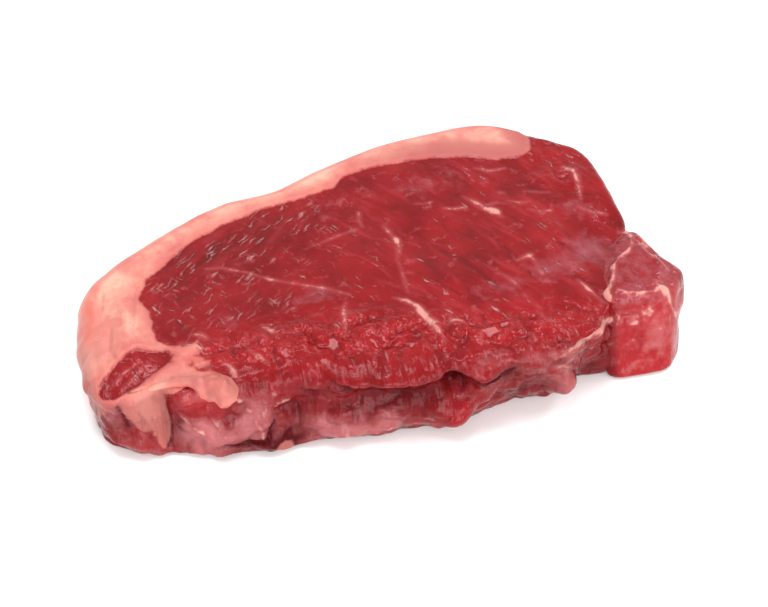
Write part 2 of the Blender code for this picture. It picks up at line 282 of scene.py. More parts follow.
# Tints of the near wall, each as x, height, half length, half height and strength: dusky ones,
# most of them painted shade in the hollows, the pit, the cuts, the undercuts and under the roll,
# with a few dark purple places among them; bright wet ones; and those under a pale film of
# membrane. A negative strength takes the tint away.
DUSKY_AND_SHADE = [
    (-59.0, 21.5, 6.5, 3.5, -0.5),
    (-60.0, 10.0, 7.0, 6.0, -0.35),
    (-33.0, 12.0, 5.5, 5.0, 0.5),
    (3.0, 17.0, 9.0, 3.6, 0.65),
    (-9.0, 16.0, 9.0, 3.5, 0.45),
    (-12.0, 19.5, 9.0, 1.6, 0.9),
    (11.5, 21.0, 3.0, 3.5, 1.2),
    (1.0, 11.0, 6.0, 5.0, 0.3),
    (24.0, 19.5, 7.0, 3.0, 0.5),
    (33.0, 10.0, 8.0, 6.0, 0.3),
    (57.5, 6.0, 6.0, 7.0, 0.4),
    (-37.0, 3.0, 5.0, 4.0, 1.2),
    (-47.0, 4.5, 8.0, 2.0, 0.6),
    (-28.0, 19.0, 4.0, 4.0, 0.5),
    (-66.0, 10.0, 2.0, 9.0, 0.6),
]
BRIGHT = [
    (12.5, 9.0, 5.0, 6.5, 1.2),
    (18.0, 25.5, 4.5, 3.5, 1.0),
    (-60.0, 20.5, 7.0, 3.5, 1.2),
    (45.0, 11.0, 4.5, 4.0, 0.8),
    (-15.0, 4.5, 12.0, 1.8, 0.7),
    (-46.0, 6.0, 7.0, 1.6, 0.5),
    (-78.0, 4.0, 7.0, 4.0, 0.8),
]
FILMY = [
    (-60.0, 8.5, 9.0, 7.0, 1.4),
    (-45.0, 12.0, 5.5, 7.5, 1.3),
    (14.0, 25.0, 8.0, 2.5, 0.5),
    (36.0, 25.0, 12.0, 2.5, 0.4),
    (-83.5, 17.0, 3.0, 5.0, 0.9),
    (-62.0, 17.0, 7.0, 3.0, -0.55),
    (-59.0, 21.5, 6.0, 2.5, 0.6),
    (-52.0, 14.0, 5.0, 4.0, -0.6),
    (-26.0, 10.0, 7.0, 2.8, 0.6),
    (-18.0, 5.0, 16.0, 4.0, 1.15),
    (44.0, 20.0, 9.0, 4.0, 0.4),
    (44.5, 11.0, 4.5, 5.0, 0.9),
    (-28.0, 22.0, 4.0, 4.0, 0.3),
    (-7.0, 23.6, 12.0, 1.4, 0.4),
    (-7.0, 8.0, 3.0, 5.0, 1.1),
    (-3.0, 17.0, 16.0, 3.0, -1.0),
    (-75.0, 1.5, 5.0, 2.5, 0.5),
    (-79.0, 6.0, 6.0, 4.0, 0.35),
]

# Parts of the cut face, each as x, y, half length, half width and strength: where the muscle
# bundles stand up in short wet ridges, where the ragged near side is wettest and reddest, and
# where a dull film lies on the lean with a painted grey-mauve sheen of reflected light.
RIDGED = [
    (-46.0, 12.0, 22.0, 13.0, 1.0),
    (-22.0, 22.0, 14.0, 8.0, 0.9),
    (-52.0, -12.0, 14.0, 8.0, 0.5),
    (-30.0, -12.0, 14.0, 6.0, 0.4),
]
RAGGED = [
    (-40.0, -27.0, 18.0, 9.0, 1.0),
    (-14.0, -30.0, 18.0, 9.0, 1.0),
    (8.0, -36.0, 18.0, 8.0, 1.0),
    (30.0, -40.0, 16.0, 7.0, 1.0),
    (50.0, -38.0, 10.0, 7.0, 0.9),
    (-78.0, -26.0, 8.0, 6.0, 0.3),
    (66.0, 22.0, 9.0, 16.0, 0.5),
]
SHEEN = [
    (63.5, -11.5, 8.0, 7.0, 0.66),
    (50.0, -17.0, 9.0, 5.0, 0.5),
    (33.0, -22.0, 11.0, 4.0, 0.35),
    (20.0, -47.0, 8.0, 4.0, 0.3),
    (34.0, -46.0, 8.0, 4.0, 0.25),
    (-19.0, -11.0, 6.5, 4.0, 0.5),
    (66.0, 6.0, 7.0, 5.0, 0.4),
    (30.0, 28.0, 22.0, 6.0, 0.3),
    (-48.0, -16.0, 6.0, 5.0, 0.3),
]

# Tints of the fat at the slab's end, in the same order: blood-orange stains and darker mauve bands.
STAINED = [
    (-83.4, 2.0, 1.6, 6.0, 1.0),
    (-86.0, -6.5, 2.0, 2.5, 0.7),
    (-80.5, 8.0, 1.2, 3.0, 0.5),
]
MAUVE_BANDS = [
    (-88.5, -11.0, 2.0, 7.0, 0.5),
    (-84.5, -14.0, 1.2, 6.0, 0.25),
    (-75.5, -3.0, 0.9, 9.0, 0.25),
]


def catmull_rom(a, b, c, d, t):
    """The smooth curve from b, where t is 0, to c, where t is 1, between neighbours a and d."""
    return b + 0.5 * t * (c - a + t * (2 * a - 5 * b + 4 * c - d + t * (3 * (b - c) + d - a)))


def closed_curve(stations, steps=40):
    """A smooth closed run through the stations, with that many points from each to the next:
    Catmull-Rom on every column."""
    p = np.array(stations)
    a, b, c, d = (np.roll(p, shift, 0)[:, None, :] for shift in (1, 0, -1, -2))
    t = np.linspace(0.0, 1.0, steps, endpoint=False)[None, :, None]
    return catmull_rom(a, b, c, d, t).reshape(-1, p.shape[1])


def even_steps(run, count):
    """The closed run read again at count even steps of its length in plan."""
    loop = np.concatenate([run, run[:1]])
    length = np.concatenate([[0.0], np.cumsum(np.hypot(*np.diff(loop[:, :2], axis=0).T))])
    wanted = np.linspace(0.0, length[-1], count, endpoint=False)
    return np.stack([np.interp(wanted, length, column) for column in loop.T], 1)


def unit(values):
    """The values, kept from 0 to 1."""
    return np.clip(values, 0.0, 1.0)


def grow(values, low, high):
    """0 before low, 1 past high, and (value - low) / (high - low) between. high may be the less."""
    return unit((values - low) / (high - low))


def bell(*axes):
    """e to minus the sum of ((value - middle) / half) ** 2, over axes of value, middle and half."""
    return np.exp(-sum(((value - middle) / half) ** 2 for value, middle, half in axes))


def bells(table, u, v):
    """The sum of the table's bells at (u, v), each times its height."""
    total = np.zeros(u.shape)
    for middle_u, middle_v, half_u, half_v, height in table:
        total += height * bell((u, middle_u, half_u), (v, middle_v, half_v))
    return total


def slab_grid(stations, spine, count, rings):
    """The skin of a slab as a grid of points, the outward direction of each column, and the
    spine's step that each column starts from.

    Each column starts on the spine, goes straight out to the shoulder, turns a quarter circle of
    the rim's radius, goes down the wall to the foot, turns a quarter circle there, and comes
    back in to the spine along the ground. rings says how many rows each of these five takes.
    """
    rows = even_steps(closed_curve(stations), count)
    xy, rim, radius, foot = rows[:, :2], rows[:, 2:3], rows[:, 3:4], rows[:, 4:5]
    tangent = np.roll(xy, -1, 0) - np.roll(xy, 1, 0)
    out = np.stack([tangent[:, 1], -tangent[:, 0]], 1)
    out /= np.linalg.norm(out, axis=1, keepdims=True)
    start, end = np.array(spine)
    share = unit((xy - start) @ (end - start) / np.sum((end - start) ** 2))
    steps = int(np.hypot(*(end - start)) / SPINE_STEP)
    step = np.rint(share * steps).astype(int)
    heart = start + share[:, None] * (end - start)
    middle = start + step[:, None] / steps * (end - start)
    shoulder, sole = xy - out * radius, xy + out * (foot - FOOT_RADIUS)
    face, turn, wall, curl, under = (np.arange(1, n + 1)[:, None, None] / n for n in rings)
    turn, curl, wall_top = turn * math.pi / 2, curl * math.pi / 2, rim - radius
    plan = [
        middle[None],
        heart + (shoulder - heart) * face,
        shoulder + out * radius * np.sin(turn),
        xy + out * foot * wall**1.5,
        sole + out * FOOT_RADIUS * np.cos(curl),
        heart + (sole - heart) * (1.0 - under[:-1]),
        middle[None],
    ]
    height = [
        THICKNESS + 0.0 * rim[None],
        THICKNESS + (rim - THICKNESS) * face**3,
        wall_top + radius * np.cos(turn),
        wall_top + (FOOT_RADIUS - wall_top) * wall,
        FOOT_RADIUS * (1.0 - np.sin(curl)) + 0.0 * rim,
        0.0 * under + 0.0 * rim,
    ]
    return np.concatenate([np.concatenate(plan), np.concatenate(height)], 2), out, step


def wall_rows(grid, rings):
    """1 on the rows of the rim's rounding and the wall, 0 on the face and underneath."""
    on_wall = np.zeros(grid.shape[:2])
    on_wall[rings[0] + 1 : -rings[-1] - 1] = 1.0
    return on_wall


def wander(points, size, seed):
    """Smooth random heights from -1 to 1: random values at the corners of a lattice of that cell
    size, blended across each cell by 3t^2 - 2t^3."""
    lattice = np.random.default_rng(seed).uniform(-1.0, 1.0, (32, 32, 32))
    places = points / np.array(size)
    cell = np.floor(places).astype(int)
    t = places - cell
    t = t * t * (3.0 - 2.0 * t)
    total = np.zeros(points.shape[:-1])
    for corner in np.ndindex(2, 2, 2):
        share = np.prod(np.where(corner, t, 1.0 - t), axis=-1)
        i, j, k = np.moveaxis((cell + corner) % 32, -1, 0)
        total += share * lattice[i, j, k]
    return total


def creases(points, size, seed):
    """1 along the winding lines where the random heights cross zero, falling to 0 beside them."""
    return unit(1.0 - np.abs(wander(points, size, seed)) * 5.0)


def off_line(x, y, start, end):
    """How far along the line from start to end, as a share, each point's nearest place on it
    lies, and how far off the line the point is."""
    run, rise = end[0] - start[0], end[1] - start[1]
    along = unit(((x - start[0]) * run + (y - start[1]) * rise) / (run * run + rise * rise))
    return along, np.hypot(x - start[0] - along * run, y - start[1] - along * rise)


def inside(outline, x, y):
    """How far inside the closed outline each point lies, in millimetres, negative outside."""
    nearest = np.full(x.shape, 1e9)
    crossings = np.zeros(x.shape, int)
    for (ax, ay), (bx, by) in zip(outline, outline[1:] + outline[:1]):
        nearest = np.minimum(nearest, off_line(x, y, (ax, ay), (bx, by))[1])
        if ay != by:
            crossings += ((ay > y) != (by > y)) & (x < ax + (bx - ax) * (y - ay) / (by - ay))
    return np.where(crossings % 2 == 1, nearest, -nearest)


def in_veins(veins, x, y):
    """How far inside the nearest vein each point lies: half width less distance, in millimetres."""
    deepest = np.full(x.shape, -9.0)
    for vein in veins:
        for start, end in zip(vein, vein[1:]):
            along, off = off_line(x, y, start, end)
            deepest = np.maximum(deepest, start[2] + (end[2] - start[2]) * along - off)
    return deepest


def skin(name, grid, step, marks):
    """A closed mesh of the grid of points. Columns that start from one step of the spine share
    that point. marks gives each named number that the material reads at the points."""
    count, around = grid.shape[:2]
    place = np.arange(count * around).reshape(count, around)
    first = np.searchsorted(np.unique(step), step)
    first = np.unique(step, return_index=True)[1][first]
    place[0], place[-1] = place[0, first], place[-1, first]
    onward = np.roll(place, -1, 1)
    corners = np.stack([place[:-1], place[1:], onward[1:], onward[:-1]], -1).reshape(-1, 4)
    used, corners = np.unique(corners, return_inverse=True)
    corners = corners.reshape(-1, 4)
    upper, lower = corners[:, 0] == corners[:, 3], corners[:, 1] == corners[:, 2]
    faces = corners[~(upper | lower)].tolist() + corners[upper, :3].tolist()
    faces += corners[lower][:, [0, 1, 3]].tolist()
    mesh = bpy.data.meshes.new(name)
    mesh.from_pydata((grid.reshape(-1, 3)[used] * MM).tolist(), [], faces)
    mesh.shade_smooth()
    for mark, values in marks.items():
        layer = mesh.attributes.new(mark, "FLOAT", "POINT")
        layer.data.foreach_set("value", np.ravel(values)[used].astype(np.float32))
    made = bpy.data.objects.new(name, mesh)
    bpy.context.collection.objects.link(made)
    return made


# Where each point lies: its row, whether that is on the walls, how much the point is on the near
# side, how high it is, and whether it is on the near wall, which starts higher in two places.
# x, y and z are views of the grid, so they follow the points when these move.
slab, slab_out, slab_step = slab_grid(BODY_OUTLINE, BODY_SPINE, SLAB_COLUMNS, SLAB_RINGS)
x, y, z = np.moveaxis(slab, -1, 0)
row = np.arange(len(slab))[:, None]
on_wall = wall_rows(slab, SLAB_RINGS)
near = grow(y, -13.0, -21.0)
upper = grow(z, 12.0, 24.0)
early = 3.0 * (x > 33.0) + 5.0 * bell((x, -60.0, 7.0))
near_wall = near * grow(row + early, 88.0, 94.0)

# How deep in the lean and in the veins each point lies. The edges wander, most of all among the
# shreds of fat at the near left, and the near wall has lean and veins of its own.
lean = np.maximum(inside(EYE_LEAN, x, y), inside(SMALL_LEAN, x, y))
wall_fat = np.maximum(inside(CORNER_FAT, x, z), inside(LOW_FAT, x, z))
lean += 0.4 * wander(slab, 5.0, 13) + 0.25 * wander(slab, 2.2, 14)
shreds = bell((x, -58.0, 9.0), (y, -27.0, 8.0))
lean += shreds * (1.8 * wander(slab, 4.0, 15) + 1.0 * wander(slab, 2.0, 16) - 0.55 * lean)
lean += 2.0 * on_wall * (1.0 - near) * wander(slab, (9.0, 9.0, 7.0), 36)
lean += (1.3 * wander(slab, (3.0, 3.0, 6.0), 17) - wall_fat - lean) * near_wall
wall_veins = in_veins(WALL_VEINS, x, z)
veins = in_veins(VEINS, x, y)
veins += (wall_veins - 0.25 - veins) * near_wall
veins += 0.55 * wander(slab, 2.6, 7)
ridged = unit(bells(RIDGED, x, y)) * upper
ragged = unit(bells(RAGGED, x, y)) * upper
far = grow(x, 2.0, 32.0) * grow(lean, -9.5, -5.5)

# The walls move out and in: lumps, cuts and beads of fat on the near one, long soft swells on
# the rest, and upright folds in the fat at the slab's end.
cuts = in_veins(WALL_CUTS, x, z)
wall_lumps = np.abs(wander(slab, (7.0, 7.0, 5.5), 1))
knob = bell((x, 44.5, 5.5), (z, 10.0, 7.0))
push = bells(WALL_RELIEF, x, z)
push -= 1.5 * np.clip(cuts, 0.0, 2.0)
push += 0.7 * unit(wall_veins + 0.3)
push += 1.7 * wall_lumps + 0.8 * np.abs(wander(slab, (3.4, 3.4, 3.0), 2)) - 0.8
push += 0.6 * wander(slab, (11.0, 11.0, 7.0), 28) + 0.3 * wander(slab, (1.8, 9.0, 9.0), 18)
push -= 0.3 * creases(slab, (7.0, 7.0, 6.0), 6) * (1.0 - knob)
push *= near
push += 0.35 * wander(slab, (16.0, 16.0, 9.0), 3) + 0.2 * wander(slab, (5.0, 5.0, 4.0), 35)
end_fat = grow(x, -70.0, -76.0) * (1.0 - near)
end_folds = creases(slab, (9.0, 9.0, 30.0), 20)
push += end_fat * (0.5 * wander(slab, (6.0, 6.0, 20.0), 19) - 0.3 * end_folds)

# The cut face rises and sinks: broad swells, ridges, ragged lumps, folds in the fat and raised
# veins, with the lean a little lower than the fat.
folds = in_veins(FAT_FOLDS, x, y)
rim_lumps = np.abs(wander(slab, (5.5, 5.5, 5.5), 10))
sunk = grow(lean, -1.2, 0.6)
lift = bells(FACE_RELIEF, x, y)
lift += 0.35 * wander(slab, 17.0, 4) + 0.14 * wander(slab, 6.0, 5)
lift += ridged * 0.2 * wander(slab, 2.6, 8)
lift += ragged * (1.9 * rim_lumps + 0.9 * np.abs(wander(slab, 2.7, 11)) - 1.0)
lift -= 0.4 * unit(folds + 0.8)
lift += 0.3 * unit(veins + 0.1)
lift -= 0.8 * sunk * sunk * (3.0 - 2.0 * sunk)
slab[..., :2] += slab_out * (push * on_wall)[..., None]
slab[..., 2] += lift * upper

# Each wet facet is levelled to its tilted plane, with an uneven edge.
wet = np.zeros(x.shape)
for middle_x, middle_y, half_x, half_y, turned in FACETS:
    dx, dy = slab[..., 0] - middle_x, slab[..., 1] - middle_y
    c, s = math.cos(math.radians(turned)), math.sin(math.radians(turned))
    off = np.maximum(np.abs(dx * c + dy * s) / half_x, np.abs(dy * c - dx * s) / half_y)
    off += 0.3 * wander(slab, 2.0, 9)
    facet = unit(3.0 * (1.25 - off)) * (slab[..., 2] > 15.0)
    slope_x, slope_y = 0.176 + 0.0016 * middle_x, 0.37 + 0.001 * middle_y
    level = np.sum(slab[..., 2] * facet) / np.sum(facet) + slope_x * dx + slope_y * dy
    slab[..., 2] += (level - slab[..., 2]) * facet
    wet = np.maximum(wet, facet)
loin_slab = skin(
    "loin_slab",
    slab,
    slab_step,
    {
        "lean": np.clip(lean, -6.0, 6.0),
        "vein": np.clip(veins, -3.0, 2.0),
        "ridged": ridged,
        "ragged": ragged,
        # Dusky places and painted shade: the near wall's dusky tints, painted shade along its cuts
        # and in the creases between lumps of the ragged rim and the wall, down the folds in the fat
        # and over the near wall's fat; the mauve bands at the slab's end, and the far fat a little
        # darker.
        "dusky_and_shade": np.clip(
            (bells(DUSKY_AND_SHADE, x, z) + 0.9 * unit(cuts + 0.3)) * near_wall
            + bells(MAUVE_BANDS, x, y)
            + 0.6 * ragged * unit(1.0 - 7.0 * rim_lumps)
            + 0.4 * near_wall * unit(1.0 - 7.0 * wall_lumps)
            + 0.12 * unit(folds + 0.8) * upper * (1.0 - near_wall)
            + np.where(lean < 0.0, np.maximum(0.75 * near_wall, 0.5 * far), 0.0),
            -0.3,
            1.0,
        ),
        "bright": unit(bells(BRIGHT, x, z) * near_wall + bells(STAINED, x, y) + 0.8 * ragged),
        "filmy_and_sheen": unit(
            bells(FILMY, x, z) * near_wall
            + bells(SHEEN, x, y) * upper * (1.0 - near_wall)
            + np.where(lean < 0.0, np.maximum(0.45 * on_wall, 0.8 * far), 0.0)
        ),
        "hung": near * grow(row, 72.0, 90.0),
        "wet": wet,
    },
)

# Raw beef: wet red muscle in coarse bundles, each cut short, and firm cream-pink fat, under one
# thin film of juice that makes both glisten. The bundles' ends show as short streaks with pale
# threads of connective tissue between them, brightened with a painted highlight and with painted
# shade down one side, and membrane left by the trimming is a dull mauve, which is also painted
# on the cut face as a sheen.
FACE_GRAIN, RIDGE_GRAIN = math.radians(-58.0), math.radians(40.0)

# Sizes in millimetres: patches, mottling, grit and bundles, then fibres and strokes, each as
# length, width and depth before they are turned to the grain.
PATCH, MOTTLE, GRIT, BUNDLE = 12.0, 3.5, 0.9, 4.8
FACE_FIBRE, RIDGE_FIBRE, HUNG_FIBRE = (15.0, 4.5, 5.0), (9.5, 3.0, 4.0), (1.3, 6.0, 7.0)
FACE_STROKE, RIDGE_STROKE, RIM_STROKE = (5.2, 1.3, 3.0), (7.0, 1.5, 3.2), (1.7, 6.0, 6.0)

# Colours of the lean, of what lies in it and over it, of the painted shade, highlights and sheen
# on it, and of the fat.
DEEP_RED, MID_RED, RIDGE_RED, WET_RED = "6F0407", "870D12", "560307", "9A080E"
PALE_FIBRE, DARK_FIBRE, FLECK, THREAD_AND_HIGHLIGHT = "992A31", "560407", "A04044", "C48884"
BORDER_DARK_AND_SHADE, BORDER_PALE, VEIN_HALO, VEIN_CREAM = "460307", "AC5256", "994044", "C88A80"
FACE_MEMBRANE_AND_SHEEN, WALL_MEMBRANE, DUSK_AND_SHADE_RED = "8E4E56", "B26668", "46060A"
ROSE_FAT, CREAM_FAT, RIND, FAT_BY_LEAN = "C4766C", "DCA08C", "C06A66", "AE504E"
BLOOD_ORANGE, MAUVE_AND_SHADE = "CC5846", "955550"
beef = bpy.data.materials.new("raw_beef_lean_and_fat")
beef.use_nodes = True
tree = beef.node_tree
surface = tree.nodes["Principled BSDF"]


def linear(code):
    """The linear colour of an sRGB hex code."""
    c = np.array([int(code[i : i + 2], 16) for i in (0, 2, 4)]) / 255.0
    return (*np.where(c <= 0.04045, c / 12.92, ((c + 0.055) / 1.055) ** 2.4), 1.0)


def add(kind, inputs=None, take=None, **settings):
    """Adds a node: settings are its properties, and inputs are values or the sockets they come
    from. It gives the output named by take, or else the first that is switched on."""
    node = tree.nodes.new(kind)
    for key, value in settings.items():
        setattr(node, key, value)
    for key, value in (inputs or {}).items():
        if isinstance(value, bpy.types.NodeSocket):
            tree.links.new(value, node.inputs[key])
        else:
            node.inputs[key].default_value = value
    return node.outputs[take] if take else next(end for end in node.outputs if end.enabled)


place = add("ShaderNodeTexCoord", take="Object")
lean, vein, ridged, ragged, dusky_and_shade, bright, filmy_and_sheen, hung, wet = (
    add("ShaderNodeAttribute", take="Fac", attribute_name=mark)
    for mark in ("lean", "vein", "ridged", "ragged", "dusky_and_shade", "bright", "filmy_and_sheen", "hung", "wet")
)


def maths(operation, *values, **settings):
    """The operation on the numbers, in the order of the node's sockets."""
    return add("ShaderNodeMath", dict(enumerate(values)), operation=operation, **settings)


def mix(share, a, b):
    """The number a, with that share of b."""
    return add("ShaderNodeMix", {"Factor": share, "A": a, "B": b})


def tint(under, share, over):
    """The colour under, with that share of the colour over. Each is a socket or a hex code."""
    under, over = (linear(c) if isinstance(c, str) else c for c in (under, over))
    return add("ShaderNodeMix", {"Factor": share, "A": under, "B": over}, data_type="RGBA")


def rise(value, low, high, top=1.0, how="SMOOTHSTEP"):
    """0 before low, top past high, and a smooth or LINEAR rise between. high may be the less."""
    span = {"Value": value, "From Min": low, "From Max": high, "To Max": top}
    return add("ShaderNodeMapRange", span, interpolation_type=how)


def noise(size, take=None, **inputs):
    """Noise over the object in blobs of about that many millimetres."""
    return add("ShaderNodeTexNoise", {"Vector": place, "Scale": 1.0 / (size * MM), **inputs}, take)


def warp(size, reach):
    """The place, moved on each axis by 0 to reach millimetres, by noise of that size."""
    parts = {0: noise(size, take="Color"), 1: (reach * MM, reach * MM, reach * MM), 2: place}
    return add("ShaderNodeVectorMath", parts, operation="MULTIPLY_ADD")


def cells(vector, turned, size):
    """The vector turned about the vertical, and counted in cells of that size."""
    size = tuple(length * MM for length in size)
    parts = {"Vector": vector, "Rotation": (0.0, 0.0, turned), "Scale": size}
    return add("ShaderNodeMapping", parts, vector_type="TEXTURE")


def fibres(turned, size, detail, distortion):
    """Noise drawn out along the fibres, in cells of that size."""
    parts = {"Vector": cells(place, turned, size), "Detail": detail, "Distortion": distortion}
    return add("ShaderNodeTexNoise", {"Scale": 1.0, **parts})


def strokes(vector, turned, size, least, shift=0.0):
    """One stroke in each cell whose random number is over least, moved sideways by that share of
    a cell."""
    parts = {0: cells(vector, turned, size), 1: (0.0, shift, 0.0)}
    moved = add("ShaderNodeVectorMath", parts, operation="ADD")
    away = add("ShaderNodeTexVoronoi", {"Vector": moved, "Scale": 1.0}, take="Distance")
    chosen = rise(away.node.outputs["Color"], least, least + 0.06, how="LINEAR")
    return maths("MULTIPLY", rise(away, 0.4, 0.1), chosen)


flat = maths("SUBTRACT", 1.0, hung)
patches = noise(PATCH, Detail=4.0)
mottle = noise(MOTTLE, Detail=4.0, Roughness=0.6, Distortion=0.3)
grit = noise(GRIT)
face_fibre = fibres(FACE_GRAIN, FACE_FIBRE, 2.0, 0.9)
ridge_fibre = fibres(RIDGE_GRAIN, RIDGE_FIBRE, 0.5, 0.3)
hung_fibre = fibres(0.0, HUNG_FIBRE, 2.0, 0.6)
fibre = mix(hung, mix(ridged, face_fibre, ridge_fibre), hung_fibre)

# Bundles cut across: cells a few millimetres wide, with winding borders.
bundles = {"Vector": warp(5.0, 10.0), "Scale": 1.0 / (BUNDLE * MM)}
border = add("ShaderNodeTexVoronoi", bundles, feature="DISTANCE_TO_EDGE")
celled = maths("MULTIPLY", flat, bright)

# How much each point is lean, and how much it is vein, with a broken edge.
is_lean = rise(maths("MULTIPLY_ADD", mottle, 2.2, lean), 0.6, 1.7)
is_vein = rise(maths("MULTIPLY_ADD", mottle, 3.2, vein), 1.6, 2.7, 0.9)

# Wet ridges: the fibre bundles' ends stand up in short bent strokes, each pale along its crest,
# which is pale tissue with a painted highlight, and with painted shade down one side. They follow
# one grain in the left part and another over the rest. Where the ragged flesh hangs over the near
# rim, the strokes are straight and upright, and pale alone, with no painted shade.
bent = warp(4.0, 3.5)
face_crest, face_stroke_shade = (
    strokes(bent, FACE_GRAIN, FACE_STROKE, 0.6, shift) for shift in (0.0, 0.45)
)
ridge_crest, ridge_stroke_shade = (
    strokes(bent, RIDGE_GRAIN, RIDGE_STROKE, 0.34, shift) for shift in (0.0, 0.45)
)
rim_crest = strokes(place, 0.0, RIM_STROKE, 0.4)
in_places = rise(maths("MULTIPLY_ADD", ridged, 0.2, patches), 0.47, 0.6)
in_places = maths("MULTIPLY", in_places, flat)
crest = maths("MULTIPLY", mix(ridged, face_crest, ridge_crest), in_places)
rim_crest = maths("MULTIPLY", rim_crest, maths("MULTIPLY", ragged, hung))
crest = maths("MAXIMUM", crest, rim_crest)
stroke_shade = mix(ridged, maths("MULTIPLY", face_stroke_shade, 0.3), ridge_stroke_shade)
stroke_shade = maths("MULTIPLY", maths("MULTIPLY", stroke_shade, in_places), 0.4)

# Lean: deep red and mid red in patches, paler and darker along the fibres, darker where it is
# ridged and brighter on the ragged side.
bright_share = maths("MULTIPLY", bright, 0.6)
red = tint(DEEP_RED, rise(patches, 0.35, 0.65, how="LINEAR"), MID_RED)
red = tint(red, rise(fibre, 0.5, 0.75, 0.45), PALE_FIBRE)
red = tint(red, rise(fibre, 0.46, 0.25, 0.6), DARK_FIBRE)
red = tint(red, maths("MULTIPLY", ridged, 0.3), RIDGE_RED)
red = tint(red, bright_share, WET_RED)

# The bundles' borders, dark in some places and pale in others, then pale flecks, the painted
# shade beside the strokes, and the strokes' pale crests, pale tissue with a painted highlight.
edge = maths("MULTIPLY", rise(border, 0.11, 0.01), celled)
pale_side = rise(mottle, 0.44, 0.56)
pale_edge = maths("MULTIPLY", edge, pale_side)
gap = maths("SUBTRACT", edge, pale_edge)
red = tint(red, maths("MULTIPLY", gap, 0.45), BORDER_DARK_AND_SHADE)
red = tint(red, maths("MULTIPLY", pale_edge, 0.25), BORDER_PALE)
red = tint(red, rise(mottle, 0.56, 0.74, 0.45), FLECK)
red = tint(red, stroke_shade, BORDER_DARK_AND_SHADE)
thread_and_highlight = maths("MULTIPLY", crest, maths("MULTIPLY_ADD", pale_side, 0.45, 0.25))
red = tint(red, thread_and_highlight, THREAD_AND_HIGHLIGHT)

# The film of membrane and the painted sheen, the veins with a soft edge, and the dusky places and
# painted shade over them all.
film_and_sheen = maths("ADD", filmy_and_sheen, maths("MULTIPLY_ADD", mottle, 1.2, -0.6))
membrane_and_sheen = tint(FACE_MEMBRANE_AND_SHEEN, hung, WALL_MEMBRANE)
red = tint(red, rise(film_and_sheen, 0.15, 0.95, 0.8, "LINEAR"), membrane_and_sheen)
red = tint(red, rise(vein, -1.1, 0.5, 0.6), VEIN_HALO)
red = tint(red, is_vein, VEIN_CREAM)
# More painted shade over the whole near wall and rim.
dusk_and_shade = maths("MULTIPLY_ADD", hung, 0.3, dusky_and_shade)
dusk_and_shade = maths("MULTIPLY", dusk_and_shade, 0.8, use_clamp=True)
red = tint(red, dusk_and_shade, DUSK_AND_SHADE_RED)

# Fat: cream and rose in broad patches, rosier in a band beside the lean, stained in places, and
# darker mauve in bands and where shade is painted on it.
cream = maths("MULTIPLY_ADD", mottle, 0.4, patches)
fat = tint(ROSE_FAT, rise(cream, 0.58, 0.82, how="LINEAR"), CREAM_FAT)
fat = tint(fat, filmy_and_sheen, RIND)
fat = tint(fat, rise(lean, -5.5, -0.3, 0.7, "LINEAR"), FAT_BY_LEAN)
fat = tint(fat, bright_share, BLOOD_ORANGE)
fat = tint(fat, maths("MULTIPLY", dusky_and_shade, 0.95), MAUVE_AND_SHADE)
tree.links.new(tint(fat, is_lean, red), surface.inputs["Base Color"])

# Relief finer than the mesh: the fibres, the ridges where they stand up, lumps and grit on the
# lean, and a faint dimpling of the fat. A wet facet is nearly smooth.
dome = maths("MULTIPLY", rise(border, 0.0, 0.3), celled)
lumpy = maths("MAXIMUM", maths("MAXIMUM", bright, hung), ridged)
height = maths("MULTIPLY", mottle, maths("MULTIPLY_ADD", lumpy, 0.55, 0.25))
height = maths("MULTIPLY_ADD", fibre, 0.45, height)
height = maths("MULTIPLY_ADD", crest, 1.1, height)
height = maths("MULTIPLY_ADD", dome, 0.5, height)
height = maths("MULTIPLY_ADD", grit, 0.07, height)
fat_height = maths("MULTIPLY", hung_fibre, hung)
fat_height = maths("MULTIPLY_ADD", fat_height, 0.8, 0.35)
fat_height = maths("MULTIPLY_ADD", mottle, 0.35, fat_height)
height = mix(is_lean, fat_height, height)
strength = maths("MULTIPLY_ADD", wet, -0.95, 1.0)
relief = add("ShaderNodeBump", {"Height": height, "Strength": strength, "Distance": 0.0006})
tree.links.new(relief, surface.inputs["Normal"])

# Juice: wet lean is glossier than fat, in patches, a facet most of all, and deep hollows are dull.
span = {"Value": patches, "From Min": 0.3, "From Max": 0.7, "To Min": 0.12, "To Max": 0.23}
shine = add("ShaderNodeMapRange", span)
gloss = mix(is_lean, 0.38, mix(wet, shine, 0.08))
tree.links.new(gloss, surface.inputs["Roughness"])
dull = maths("MULTIPLY_ADD", dusk_and_shade, -0.35, 0.5)
tree.links.new(dull, surface.inputs["Specular IOR Level"])
surface.inputs["IOR"].default_value = 1.34
surface.inputs["Specular Tint"].default_value = (1.0, 0.86, 0.9, 1.0)
surface.inputs["Subsurface Weight"].default_value = 0.2
surface.inputs["Subsurface Radius"].default_value = (1.0, 0.3, 0.2)
surface.inputs["Subsurface Scale"].default_value = 0.0015
loin_slab.data.materials.append(beef)
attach(loin_slab, "root")
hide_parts("steak")

